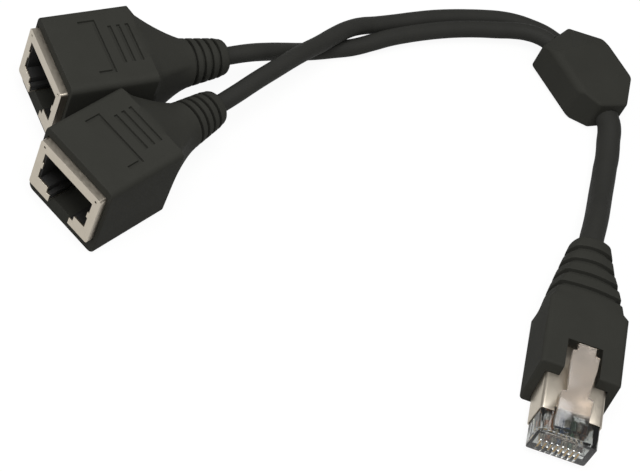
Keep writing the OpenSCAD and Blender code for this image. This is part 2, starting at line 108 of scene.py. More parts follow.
def add_node(tree: bpy.types.NodeTree, kind: str, settings: dict | None = None,
             links: dict | None = None) -> bpy.types.Node:
    """Adds one shader node with its settings and links.

    Args:
        tree: The material's or world's node tree.
        kind: Blender's name for the node type.
        settings: Properties of the node by name, and input values by input name or number.
        links: Output sockets by the input that each feeds.

    Returns:
        The new node.
    """
    node = tree.nodes.new(kind)
    for key, value in (settings or {}).items():
        if isinstance(key, str) and hasattr(node, key):
            setattr(node, key, value)
        else:
            node.inputs[key].default_value = value
    for key, socket in (links or {}).items():
        tree.links.new(socket, node.inputs[key])
    return node


def cells_per_metre(size_mm: float) -> float:
    """Scale of a noise pattern whose cells have a real size.

    Args:
        size_mm: Size of one cell.

    Returns:
        The value for a noise node's Scale on coordinates in metres.
    """
    return 1 / (size_mm * MM)


@dataclass(frozen=True)
class Finish:
    """A surface: its colour and its gloss, each with a slight variation, and a fine relief.

    Attributes:
        name: What the material is and how its surface was made.
        colour: Main colour, sRGB hex.
        drift: Colour that the main one drifts to, sRGB hex.
        drift_mm: Size of the patches of drift.
        roughness: Lowest and highest roughness.
        grain_mm: Size of the surface's grain.
        relief_mm: Depth of the grain.
        metallic: 1 for a metal.
        ior: Index of refraction; a metal keeps the default.
        transmission: 1 for a clear piece.
        stretch: Grain size along X, Y and Z as multiples of grain_mm, for rolled or drawn surfaces.
        turn_deg: Turn of the stretched grain about Z.
        specular: Strength of the mirror-like part; 0.5 is the plain surface of that index.
    """

    name: str
    colour: str
    drift: str
    drift_mm: float
    roughness: tuple[float, float]
    grain_mm: float
    relief_mm: float
    metallic: float = 0.0
    ior: float = 1.5
    transmission: float = 0.0
    stretch: Point = (1.0, 1.0, 1.0)
    turn_deg: float = 0.0
    specular: float = 0.5

    def base_colour(self, tree: bpy.types.NodeTree,
                    place: bpy.types.NodeSocket) -> bpy.types.NodeSocket:
        """Colour over the surface.

        Args:
            tree: The material's nodes.
            place: Coordinates on the piece.

        Returns:
            The socket with the colour.
        """
        patches = add_node(
            tree, "ShaderNodeTexNoise",
            {"Scale": cells_per_metre(self.drift_mm), "Detail": 3.0, "Roughness": 0.6},
            {"Vector": place})
        mix = add_node(tree, "ShaderNodeMix",
                       {"data_type": "RGBA", 6: linear(self.colour), 7: linear(self.drift)},
                       {0: patches.outputs["Fac"]})
        return mix.outputs[2]

    def build(self) -> bpy.types.Material:
        """Makes the material.

        Returns:
            The material, ready for a piece's slot.
        """
        material = bpy.data.materials.new(self.name)
        material.use_nodes = True
        tree = material.node_tree
        shader = tree.nodes["Principled BSDF"]
        shader.inputs["Metallic"].default_value = self.metallic
        shader.inputs["IOR"].default_value = self.ior
        shader.inputs["Transmission Weight"].default_value = self.transmission
        shader.inputs["Specular IOR Level"].default_value = self.specular
        place = add_node(tree, "ShaderNodeTexCoord").outputs["Object"]
        tree.links.new(self.base_colour(tree, place), shader.inputs["Base Color"])
        drawn = add_node(tree, "ShaderNodeMapping",
                         {"vector_type": "TEXTURE", "Rotation": (0, 0, math.radians(self.turn_deg)),
                          "Scale": self.stretch}, {"Vector": place})
        grain = add_node(tree, "ShaderNodeTexNoise",
                         {"Scale": cells_per_metre(self.grain_mm), "Detail": 2.0, "Roughness": 0.5},
                         {"Vector": drawn.outputs["Vector"]})
        gloss = add_node(tree, "ShaderNodeMapRange",
                         {"From Min": NOISE_RANGE[0], "From Max": NOISE_RANGE[1],
                          "To Min": self.roughness[0], "To Max": self.roughness[1]},
                         {"Value": grain.outputs["Fac"]})
        tree.links.new(gloss.outputs["Result"], shader.inputs["Roughness"])
        bump = add_node(tree, "ShaderNodeBump", {"Strength": 1.0, "Distance": self.relief_mm * MM},
                        {"Height": grain.outputs["Fac"]})
        tree.links.new(bump.outputs["Normal"], shader.inputs["Normal"])
        return material


@dataclass(frozen=True)
class StripedFinish(Finish):
    """Wire insulation with rings of its partner's colour printed round it.

    Attributes:
        stripe: Colour of the rings, sRGB hex.
        stripe_mm: Spacing of the rings.
        stripe_edge: Values of the wave between which a ring starts.
    """

    stripe: str = "#ffffff"
    stripe_mm: float = 3.0
    stripe_edge: tuple[float, float] = (0.6, 0.7)

    def base_colour(self, tree: bpy.types.NodeTree,
                    place: bpy.types.NodeSocket) -> bpy.types.NodeSocket:
        """Colour over the surface, in rings across the wire.

        Args:
            tree: The material's nodes.
            place: Coordinates on the piece.

        Returns:
            The socket with the colour.
        """
        along = add_node(tree, "ShaderNodeMapping",
                         {"vector_type": "TEXTURE",
                          "Rotation": (0, 0, math.radians(self.turn_deg))}, {"Vector": place})
        rings = add_node(tree, "ShaderNodeTexWave",
                         {"bands_direction": "Y",
                          "Scale": cells_per_metre(self.stripe_mm) / WAVE_BANDS},
                         {"Vector": along.outputs["Vector"]})
        step = add_node(tree, "ShaderNodeMapRange",
                        {"From Min": self.stripe_edge[0], "From Max": self.stripe_edge[1]},
                        {"Value": rings.outputs["Fac"]})
        mix = add_node(tree, "ShaderNodeMix",
                       {"data_type": "RGBA", 6: linear(self.colour), 7: linear(self.stripe)},
                       {0: step.outputs["Result"]})
        return mix.outputs[2]


# Soft PVC moulded in a spark-eroded tool: near black and slightly warm, matt, with a grain that
# breaks up its gloss, drawn coarser than the real tenth of a millimetre so that it shows
OVERMOULD = Finish("moulded_black_pvc", "#31312d", "#373733", 7.0, (0.6, 0.74), 0.28, 0.01,
                   ior=1.53, specular=0.04)
# The same PVC extruded as cable jacket: a little smoother, with faint waves
JACKET = Finish("extruded_black_pvc", "#2d2d2b", "#343431", 5.0, (0.5, 0.64), 0.5, 0.008,
                ior=1.53, specular=0.06)
# Nickel plate on rolled brass sheet: a warm white metal, satin, with a faint rolling grain that is
# drawn coarser than the real one so that it shows
NICKEL = Finish("nickel_plated_sheet", "#d4cbbc", "#c8bfb0", 3.0, (0.3, 0.42), 0.16, 0.0006,
                metallic=1.0, stretch=(6.0, 1.0, 1.0))
# Glass-filled PBT moulded to fine tolerances: black, even, half matt
PBT = Finish("moulded_black_pbt", "#151514", "#1b1b1a", 2.0, (0.5, 0.62), 0.2, 0.003,
             ior=1.57, specular=0.25)
# Gold flash over nickel on phosphor bronze: warm yellow metal, smooth
GOLD = Finish("gold_plated_bronze", "#d9ae5c", "#c99a48", 1.5, (0.2, 0.32), 0.1, 0.0005,
              metallic=1.0)
# Clear polycarbonate moulded in a polished tool: glassy, with faint flow marks
POLYCARBONATE = Finish("clear_polycarbonate", "#e6e8e6", "#dcdfdd", 4.0, (0.05, 0.12), 1.4, 0.0008,
                       ior=1.585, transmission=1.0)
# The same polycarbonate in the thin latch, a little rough, with a pale milky share as painted light
FROSTED_PAINTED_LIGHT = Finish("frosted_polycarbonate_painted_light", "#eee3d7", "#e4d9cd", 3.0, (0.12, 0.22), 1.2, 0.0006,
                 ior=1.585, transmission=0.72)
# Unfilled low-density polyethylene: milky white and waxy
POLYETHYLENE = Finish("natural_polyethylene", "#b5b0a4", "#a8a396", 2.5, (0.4, 0.52), 0.3, 0.004,
                      ior=1.51)

FINISHES = {
    Slot.OVERMOULD: OVERMOULD,
    Slot.JACKET: JACKET,
    Slot.SHIELD: NICKEL,
    Slot.INSERT: PBT,
    Slot.CONTACTS: GOLD,
    Slot.INNER: POLYETHYLENE,
    Slot.CLEAR: POLYCARBONATE,
}


def deselect() -> None:
    """Leaves object mode with nothing selected."""
    if bpy.context.object and bpy.context.object.mode != "OBJECT":
        bpy.ops.object.mode_set(mode="OBJECT")
    bpy.ops.object.select_all(action="DESELECT")


def select_only(piece: bpy.types.Object) -> None:
    """Makes one piece the only one selected, and the active one.

    Args:
        piece: The piece to work on.
    """
    deselect()
    piece.select_set(True)
    bpy.context.view_layer.objects.active = piece


def add_object(name: str, data: bpy.types.ID) -> bpy.types.Object:
    """Adds an object to the scene.

    Args:
        name: Its name.
        data: Its mesh, curve, lamp or camera.

    Returns:
        The object.
    """
    thing = bpy.data.objects.new(name, data)
    bpy.context.scene.collection.objects.link(thing)
    return thing


def apply_modifiers(piece: bpy.types.Object) -> None:
    """Applies all modifiers of a piece in their order.

    Args:
        piece: The piece to finish.
    """
    select_only(piece)
    for modifier in list(piece.modifiers):
        bpy.ops.object.modifier_apply(modifier=modifier.name)


def settle(piece: bpy.types.Object) -> None:
    """Moves a piece's place into its mesh, so that its object sits at the origin.

    Args:
        piece: The piece to settle.
    """
    select_only(piece)
    bpy.ops.object.transform_apply(location=True, rotation=True, scale=True)


def dress(piece: bpy.types.Object, material: bpy.types.Material) -> None:
    """Gives a piece its material in place of any other, and reports it.

    Args:
        piece: The piece to dress.
        material: Its finish.
    """
    piece.data.materials.clear()
    piece.data.materials.append(material)
    log.info("%s: %s", piece.name, material.name)


def hand_over(piece: bpy.types.Object, material: bpy.types.Material,
              replaced: str) -> None:
    """Gives a finished piece its material and its place in the frame.

    Args:
        piece: The finished piece.
        material: Its finish.
        replaced: The CAD node that the piece stands for.
    """
    dress(piece, material)
    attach(piece, BODY)
    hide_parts(replaced)


def edit(piece: bpy.types.Object, kind: str = "VERT") -> None:
    """Opens a piece in edit mode with everything selected.

    Args:
        piece: The piece to edit.
        kind: VERT, EDGE or FACE.
    """
    select_only(piece)
    bpy.ops.object.mode_set(mode="EDIT")
    bpy.ops.mesh.select_mode(type=kind)
    bpy.ops.mesh.select_all(action="SELECT")


def pick(piece: bpy.types.Object, wanted: Callable[[Vector], bool]) -> None:
    """Selects the vertices at wanted places and stays in edit mode.

    Args:
        piece: The piece to edit.
        wanted: Says whether a place, in metres, is wanted.
    """
    edit(piece)
    bpy.ops.mesh.select_all(action="DESELECT")
    bpy.ops.object.mode_set(mode="OBJECT")
    for vertex in piece.data.vertices:
        vertex.select = wanted(vertex.co)
    bpy.ops.object.mode_set(mode="EDIT")


def box(width: float, along: float, length: float, low: float, height: float) -> bpy.types.Object:
    """Adds a box centred across X.

    Args:
        width: Size across X.
        along: Y of its front.
        length: Size along Y.
        low: Z of its underside.
        height: Size along Z.

    Returns:
        The box.
    """
    deselect()
    bpy.ops.mesh.primitive_cube_add(
        size=1, location=(0, (along + length / 2) * MM, (low + height / 2) * MM),
        scale=(width * MM, length * MM, height * MM))
    piece = bpy.context.object
    settle(piece)
    return piece


def subtract(piece: bpy.types.Object, cutter: bpy.types.Object) -> None:
    """Cuts one solid out of another and removes the cutter.

    Args:
        piece: The piece that is cut.
        cutter: What is taken away.
    """
    cut = piece.modifiers.new("cut", "BOOLEAN")
    cut.operation = "DIFFERENCE"
    cut.solver = "EXACT"
    cut.object = cutter
    apply_modifiers(piece)
    bpy.data.objects.remove(cutter)


def round_edges(piece: bpy.types.Object, width_mm: float, steps: int, from_deg: float,
                miter: str = "MITER_SHARP") -> None:
    """Rounds the edges of a piece.

    Args:
        piece: The piece to round.
        width_mm: Width of the rounding.
        steps: Faces across it.
        from_deg: Turn between faces from which an edge is rounded.
        miter: How two roundings meet at an outer corner.
    """
    bevel = piece.modifiers.new("rounded_edges", "BEVEL")
    bevel.width = width_mm * MM
    bevel.segments = steps
    bevel.limit_method = "ANGLE"
    bevel.angle_limit = math.radians(from_deg)
    bevel.miter_outer = miter
    apply_modifiers(piece)


def smooth(piece: bpy.types.Object, sharp_deg: float) -> None:
    """Shades a piece smooth up to an angle, with its large faces kept flat.

    Args:
        piece: The piece to shade.
        sharp_deg: Turn between faces from which an edge shows sharp.
    """
    select_only(piece)
    bpy.ops.object.shade_smooth_by_angle(angle=math.radians(sharp_deg))
    even = piece.modifiers.new("flat_faces", "WEIGHTED_NORMAL")
    even.keep_sharp = True
    apply_modifiers(piece)


def put(piece: bpy.types.Object, place: Matrix) -> None:
    """Moves a piece from its sub-assembly's own frame to its place in the row's frame.

    Args:
        piece: The piece to move.
        place: The move.
    """
    piece.matrix_world = place
    settle(piece)


@dataclass(frozen=True)
class Section:
    """One section of a moulding, square to its length.

    Attributes:
        along: Distance along the moulding.
        half_width: Half its width.
        half_height: Half its height.
        middle: Height of its centre.
        roundness: 0 for the square that the moulding starts from, 1 for an ellipse.
    """

    along: float
    half_width: float
    half_height: float
    middle: float
    roundness: float = 0.0


@dataclass
class Moulding:
    """A solid drawn out along +Y through sections that pass from a square to an ellipse.

    Attributes:
        name: Name of the piece.
        corner_r: Rounding of the square's corners.
        sections: The sections from front to back.
        corner_steps: Faces round each corner.
        cuts: Cuts along each side of the square.
    """

    name: str
    corner_r: float
    sections: list[Section]
    corner_steps: int = 5
    cuts: int = 15

    def outline(self) -> bpy.types.Object:
        """Draws the first section as a closed line: a square with rounded corners.

        Returns:
            The piece so far, open in edit mode with the line selected.
        """
        first = self.sections[0]
        side = 2 * first.half_width * MM
        deselect()
        bpy.ops.mesh.primitive_plane_add(
            size=side, location=(0, first.along * MM, first.middle * MM),
            rotation=(math.radians(90), 0, 0))
        piece = bpy.context.object
        piece.name = self.name
        settle(piece)
        edit(piece)
        bpy.ops.mesh.bevel(offset=self.corner_r * MM, segments=self.corner_steps,
                           affect="VERTICES")
        bpy.ops.mesh.select_all(action="SELECT")
        bpy.ops.mesh.delete(type="ONLY_FACE")
        bpy.ops.mesh.select_mode(type="EDGE")
        bpy.ops.mesh.select_all(action="DESELECT")
        bpy.ops.object.mode_set(mode="OBJECT")
        places = piece.data.vertices
        for line in piece.data.edges:
            ends = [places[index].co for index in line.vertices]
            line.select = (ends[0] - ends[1]).length > side / 2
        bpy.ops.object.mode_set(mode="EDIT")
        bpy.ops.mesh.subdivide(number_cuts=self.cuts)
        bpy.ops.mesh.select_mode(type="VERT")
        bpy.ops.mesh.select_all(action="SELECT")
        self.fit(piece, first)
        return piece

    def fit(self, piece: bpy.types.Object, section: Section, square: bool = False) -> None:
        """Scales the selected ring to a section's size.

        Args:
            piece: The piece, open in edit mode with the ring selected.
            section: The section.
            square: True to make its height equal to its width.
        """
        bpy.ops.object.mode_set(mode="OBJECT")
        ring = [vertex.co for vertex in piece.data.vertices if vertex.select]
        wide = (max(place.x for place in ring) - min(place.x for place in ring)) / 2
        high = (max(place.z for place in ring) - min(place.z for place in ring)) / 2
        bpy.ops.object.mode_set(mode="EDIT")
        tall = section.half_width if square else section.half_height
        bpy.ops.transform.resize(value=(section.half_width * MM / wide, 1, tall * MM / high),
                                 center_override=(0, section.along * MM, section.middle * MM))

    def build(self) -> bpy.types.Object:
        """Draws the moulding out, ring by ring, and closes both ends.

        Returns:
            The closed solid.
        """
        piece = self.outline()
        for before, after in zip(self.sections, self.sections[1:]):
            step = (0, (after.along - before.along) * MM, (after.middle - before.middle) * MM)
            bpy.ops.mesh.extrude_region_move(TRANSFORM_OT_translate={"value": step})
            if after.roundness > before.roundness:
                self.fit(piece, after, square=True)
                share = 1 - (1 - after.roundness) / (1 - before.roundness)
                bpy.ops.transform.tosphere(
                    value=share, center_override=(0, after.along * MM, after.middle * MM))
            self.fit(piece, after)
        bpy.ops.mesh.edge_face_add()
        front = self.sections[0].along * MM
        pick(piece, lambda place: place.y < front + TOUCH_MM * MM)
        bpy.ops.mesh.edge_face_add()
        bpy.ops.mesh.select_all(action="SELECT")
        bpy.ops.mesh.normals_make_consistent(inside=False)
        bpy.ops.object.mode_set(mode="OBJECT")
        return piece


def roundness(power: float) -> float:
    """Share of the way from the square to the circle at which a superellipse's corners lie.

    The operator moves each point towards the ring's mean radius, and the ring is then scaled back
    to its size. The share is the one that leaves the corners where the superellipse has them.

    Args:
        power: The superellipse's power, 2 for an ellipse.

    Returns:
        The share.
    """
    corner = 2 ** (0.5 - 1 / power)
    return min(1.0, (math.sqrt(2) - corner) / (CORNER_EXCESS + RADIUS_EXCESS * corner))


def groove_steps(width: float, wall: Wall) -> list[tuple[float, float]]:
    """Steps across a groove whose two walls are alike.

    Args:
        width: Width of the groove.
        wall: Steps down one wall.

    Returns:
        Distance from the groove's start and depth, at each step.
    """
    return list(wall) + [(width - step, cut) for step, cut in reversed(wall)]


@dataclass
class Softened:
    """A CAD node's own form with its edges broken, as tooling and plating leave them.

    Attributes:
        node: The CAD node.
        piece: Name of the new piece.
        edge_mm: Width of the broken edge.
        edge_deg: Sharpest turn between faces that stays smooth and unbroken.
        steps: Faces across each broken edge.
    """

    node: str
    piece: str
    edge_mm: float
    edge_deg: float = 32.0
    steps: int = 2

    def build(self) -> bpy.types.Object:
        """Copies the node's mesh, merges it and rounds its edges.

        Returns:
            The new piece, with no material yet.
        """
        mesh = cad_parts[self.node].data.copy()
        mesh.materials.clear()
        piece = add_object(self.piece, mesh)
        select_only(piece)
        if mesh.has_custom_normals:
            bpy.ops.mesh.customdata_custom_splitnormals_clear()
        edit(piece)
        bpy.ops.mesh.remove_doubles(threshold=MERGE_MM * MM)
        bpy.ops.mesh.dissolve_limited(angle_limit=math.radians(PLANE_DEG))
        round_edges(piece, self.edge_mm, self.steps, self.edge_deg, "MITER_ARC")
        bpy.ops.object.shade_smooth_by_angle(angle=math.radians(self.edge_deg))
        return piece


@dataclass
class Cable:
    """A free round cable, laid along its route as one smooth curve.

    Attributes:
        node: The CAD node that it stands for, whose name it takes.
        diameter: Outer diameter.
        length: Real length from exit to end; not used.
        route: Centre line from the exit to where it goes back into the object.
        stiffness: How far it keeps its own curve; not used.
        ring_steps: Fineness of its section.
        run_steps: Rings from one point of the route to the next.
    """

    node: str
    diameter: float
    length: float
    route: list[Point]
    stiffness: str = "medium"
    ring_steps: int = 6
    run_steps: int = 8

    def build(self, material: bpy.types.Material) -> None:
        """Args:
            material: The jacket's finish.
        """
        curve = bpy.data.curves.new(self.node + "_run", "CURVE")
        curve.dimensions = "3D"
        curve.bevel_depth = self.diameter / 2 * MM
        curve.bevel_resolution = self.ring_steps
        curve.resolution_u = self.run_steps
        curve.use_fill_caps = True
        spline = curve.splines.new("BEZIER")
        spline.bezier_points.add(len(self.route) - 1)
        for knot, place in zip(spline.bezier_points, self.route):
            knot.co = Vector(place) * MM
            knot.handle_left_type = knot.handle_right_type = "AUTO"
        cable = add_object(self.node + "_jacket", curve)
        hand_over(cable, material, self.node)


@dataclass
class Cabling:
    """The three cables between the moulded pieces.

    Attributes:
        branch_diameter: Diameter of both branch cables.
        trunk_diameter: Diameter of the trunk cable.
        route_a: Centre line of the branch cable from the nearer socket.
        route_b: Centre line of the branch cable from the farther socket.
        route_trunk: Centre line of the trunk cable, from the junction to the boot.
    """

    branch_diameter: float = 3.5
    trunk_diameter: float = 4.8
    route_a: list[Point] = field(default_factory=lambda: [
        (-19.55, -81.65, 9), (-20.6, -76.4, 9.1), (-21.9, -70.9, 9), (-23.2, -65.5, 8.5),
        (-24.5, -60.5, 7.8), (-25.7, -55.7, 6.9), (-26.7, -51.2, 6), (-27.7, -46.8, 5.5),
        (-28.5, -42.5, 4.8), (-29, -38.3, 3.5), (-28.8, -33.9, 2.3), (-28.2, -29.5, 1.8),
        (-27.3, -25.1, 1.8), (-26.3, -20.8, 1.8), (-25.1, -16.8, 1.8), (-23.7, -12.9, 1.8),
        (-22.3, -9.4, 1.8), (-20.8, -6.2, 1.8), (-18.9, -3.3, 1.8), (-16.6, -0.9, 1.8),
        (-14, 0.9, 2), (-11.1, 2, 2.2)])
    route_b: list[Point] = field(default_factory=lambda: [
        (-29.11, -73.71, 9), (-28.4, -68.6, 8.7), (-28.1, -63.4, 7.2), (-28.2, -58.5, 5),
        (-28.3, -54.2, 3), (-27.8, -50.1, 2), (-26.9, -45.9, 1.8), (-25.9, -41.8, 1.9),
        (-25.3, -37.6, 2.3), (-24.9, -33.4, 2.5), (-24.3, -29.2, 2.5), (-23.4, -24.9, 2.6),
        (-22.3, -20.7, 2.7), (-21, -16.7, 2.8), (-19.5, -12.9, 2.9), (-18, -9.6, 3),
        (-16.6, -6.6, 3.2), (-14.9, -4.1, 3.5), (-12.7, -2.2, 3.8), (-10.27, -1.1, 4)])
    route_trunk: list[Point] = field(default_factory=lambda: [
        (9.8, -1.8, 4), (11.5, -2.5, 3.9), (13.1, -3.6, 3.7), (14.6, -4.9, 3.3),
        (16.2, -6.2, 3), (17.9, -7.8, 2.8), (19.5, -9.6, 2.7), (21.2, -11.4, 2.7),
        (22.8, -13.2, 2.8), (24.4, -15.1, 3.1), (26, -17, 3.5), (27.5, -18.9, 4.1),
        (29.2, -21, 4.6), (31, -23.3, 5), (32.8, -25.6, 5.2), (34.6, -27.7, 5.3)])

    def build(self, material: bpy.types.Material) -> None:
        """Lays all three cables.

        Args:
            material: The jacket's finish.
        """
        runs = (
            ("branch_cable_a", self.branch_diameter, self.route_a),
            ("branch_cable_b", self.branch_diameter, self.route_b),
            ("trunk_cable", self.trunk_diameter, self.route_trunk),
        )
        for node, diameter, route in runs:
            Cable(node, diameter, run_length(route), route).build(material)


def run_length(route: list[Point]) -> float:
    """Length of a route, point to point.

    Args:
        route: The points, in millimetres.

    Returns:
        The length in millimetres.
    """
    return sum((Vector(b) - Vector(a)).length for a, b in zip(route, route[1:]))


@dataclass
class Housing:
    """The overmoulded housing of a socket, in its own frame: mouth at y = 0, cable towards +Y.

    Attributes:
        width: Width of the square body.
        height: Height of the square body.
        body: Length of the square body.
        corner_r: Rounding of the long edges.
        rim_r: Rounding of the mouth's rim.
        taper: Length of the part that narrows to the cable.
        taper_steps: Sections along that part.
        flare: Power of its curve; 1 is straight.
        powers: Powers of its superellipse at the body and at the relief.
        relief: Length of the ribbed relief.
        relief_d: Diameter of the relief at the taper.
        relief_end_d: Diameter of the relief at the cable.
        exit_height: Height of the cable's centre.
        grooves: Number of grooves round the relief.
        groove_w: Width of each groove.
        groove_wall: Steps down a groove's wall.
        dome: Rounding of the relief's end.
        dome_steps: Sections along that rounding.
        room: The shield's room: width, depth, underside and height.
        core: The inner mould's room: width, depth, underside and height.
        mark_cut: Depth of the lines on the top face.
        mark_w: Width of the lines at their bottom.
        mark_slope: How much further out each wall of a line lies at the surface.
        bracket: Width, distance from the mouth and leg length of the bracket.
        grip: Width, first distance and spacing of the grip lines.
        grip_lines: Number of grip lines.
    """

    width: float = 17.6
    height: float = 18.0
    body: float = 17.0
    corner_r: float = 1.2
    rim_r: float = 0.25
    taper: float = 10.0
    taper_steps: int = 8
    flare: float = 1.4
    powers: tuple[float, float] = (12.0, 2.0)
    relief: float = 9.0
    relief_d: float = 9.4
    relief_end_d: float = 7.0
    exit_height: float = 9.0
    grooves: int = 4
    groove_w: float = 0.85
    groove_wall: Wall = ((0.0, 0.0), (0.1, 0.12), (0.18, 0.75))
    dome: float = 1.2
    dome_steps: int = 5
    room: tuple[float, float, float, float] = (15.9, 14.15, 3.55, 12.5)
    core: tuple[float, float, float, float] = (11.1, 18.2, 5.5, 8.6)
    mark_cut: float = 0.4
    mark_w: float = 0.6
    mark_slope: float = 0.15
    bracket: tuple[float, float, float] = (12.0, 9.0, 3.2)
    grip: tuple[float, float, float] = (8.4, 11.6, 1.7)
    grip_lines: int = 3

    def body_sections(self) -> list[Section]:
        """Sections of the square body and of the part that narrows.

        Returns:
            The sections from the mouth's rim to the relief.
        """
        wide, high, middle = self.width / 2, self.height / 2, self.height / 2
        lip = [Section(self.rim_r * (1 - math.cos(turn)), wide - self.rim_r * (1 - math.sin(turn)),
                       high - self.rim_r * (1 - math.sin(turn)), middle)
               for turn in (0.0, math.pi / 4, math.pi / 2)]
        first, last = self.powers
        narrow = []
        for step in range(self.taper_steps + 1):
            share = step / self.taper_steps
            eased = 1 - (1 - share) ** self.flare
            narrow.append(Section(
                self.body + self.taper * share, wide + (self.relief_d / 2 - wide) * eased,
                high + (self.relief_d / 2 - high) * eased,
                middle + (self.exit_height - middle) * eased,
                0.0 if step == 0 else roundness(first - (first - last) * math.sqrt(share))))
        return lip + narrow

    def relief_sections(self) -> list[Section]:
        """Sections of the ribbed relief: a narrowing round with grooves and a domed end.

        Returns:
            The sections from the first groove to the cable.
        """
        start = self.body + self.taper
        pitch = (self.relief - self.dome) / (self.grooves + 0.5)
        fall = (self.relief_d - self.relief_end_d) / 2 / self.relief
        profile = []
        for groove in range(self.grooves):
            first = pitch * (groove + 0.5)
            for step, cut in groove_steps(self.groove_w, self.groove_wall):
                radius = self.relief_d / 2 - fall * (first + step) - cut
                profile.append((first + step, radius))
        for step in range(self.dome_steps + 1):
            turn = math.radians(90 / self.dome_steps * step)
            profile.append((self.relief - self.dome * (1 - math.sin(turn)),
                            self.relief_end_d / 2 - self.dome * (1 - math.cos(turn))))
        return [Section(start + along, radius, radius, self.exit_height, 1.0)
                for along, radius in profile]

    def line(self, width: float, along: float, length: float,
             shift: float = 0.0) -> bpy.types.Object:
        """Makes the cutter of one moulded line, with walls that slope outwards as a mould needs.

        Args:
            width: Size across the housing at the line's bottom.
            along: Distance from the mouth.
            length: Size along the housing at the line's bottom.
            shift: Distance across from the middle.

        Returns:
            The cutter.
        """
        cutter = box(width, along, length, self.height - self.mark_cut, 2 * self.mark_cut)
        pick(cutter, lambda place: place.z > self.height * MM)
        spread = 2 * self.mark_slope
        bpy.ops.transform.resize(value=((width + spread) / width, (length + spread) / length, 1))
        bpy.ops.mesh.select_all(action="SELECT")
        bpy.ops.transform.translate(value=(shift * MM, 0, 0))
        bpy.ops.object.mode_set(mode="OBJECT")
        return cutter

    def build(self) -> bpy.types.Object:
        """Draws the housing out, hollows it and cuts the lines into its top face.

        Returns:
            The housing in its own frame.
        """
        sections = self.body_sections() + self.relief_sections()
        piece = Moulding("socket_overmould", self.corner_r, sections).build()
        for width, depth, low, high in (self.room, self.core):
            subtract(piece, box(width, -CLEAR_MM, depth + CLEAR_MM, low, high))
        width, along, leg = self.bracket
        subtract(piece, self.line(width, along, self.mark_w))
        for side in (-1, 1):
            subtract(piece, self.line(self.mark_w, along + self.mark_w - leg, leg,
                                      side * (width - self.mark_w) / 2))
        width, along, pitch = self.grip
        for number in range(self.grip_lines):
            subtract(piece, self.line(width, along + pitch * number, self.mark_w))
        smooth(piece, MOULDED_DEG)
        return piece


@dataclass
class Socket:
    """One socket: overmoulded housing, folded shield, insert, spring contacts and inner mould.

    Attributes:
        letter: a or b, as in the node names.
        exit: Where the cable leaves the relief.
        turn_deg: Turn about Z; 0 has the cable leave along +Y.
        length: Distance from the housing's mouth to the exit.
        slot: Latch slot in the can's lower sheet: width, front, length, underside and height.
    """

    letter: str
    exit: Point
    turn_deg: float
    length: float = 36.0
    slot: tuple[float, float, float, float, float] = (5.5, -0.9, 9.4, 3.4, 0.7)

    def place(self) -> Matrix:
        """Turns the housing's own frame into the lead's frame.

        Returns:
            The turn and move.
        """
        foot = Vector((self.exit[0], self.exit[1], 0)) * MM
        turn = Matrix.Rotation(math.radians(self.turn_deg), 4, "Z")
        return Matrix.Translation(foot) @ turn @ Matrix.Translation((0, -self.length * MM, 0))

    def open_latch_slot(self, can: bpy.types.Object) -> None:
        """Cuts the latch's slot into the can's lower sheet, so that the black housing shows there.

        Args:
            can: The shield can at its place.
        """
        cutter = box(*self.slot)
        put(cutter, self.place())
        subtract(can, cutter)
        smooth(can, Softened.edge_deg)

    def build(self, form: bpy.types.Object, finishes: dict[Slot, bpy.types.Material]) -> None:
        """Builds the socket's pieces and dresses its inner mould.

        Args:
            form: The housing in its own frame, which is copied.
            finishes: Materials by slot.
        """
        node, name = f"jack_{self.letter}_", f"socket_{self.letter}_"
        housing = add_object(name + "overmould", form.data.copy())
        put(housing, self.place())
        hand_over(housing, finishes[Slot.OVERMOULD], node + "housing")
        parts = (
            (Softened(node + "shield", name + "shield_can", 0.07), Slot.SHIELD),
            (Softened(node + "insert", name + "contact_block", 0.06), Slot.INSERT),
            (Softened(node + "contacts", name + "springs", 0.03, COARSE_DEG), Slot.CONTACTS),
        )
        for part, slot in parts:
            piece = part.build()
            if slot is Slot.SHIELD:
                self.open_latch_slot(piece)
            hand_over(piece, finishes[slot], part.node)
        dress(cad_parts[node + "inner_mould"], finishes[Slot.INNER])


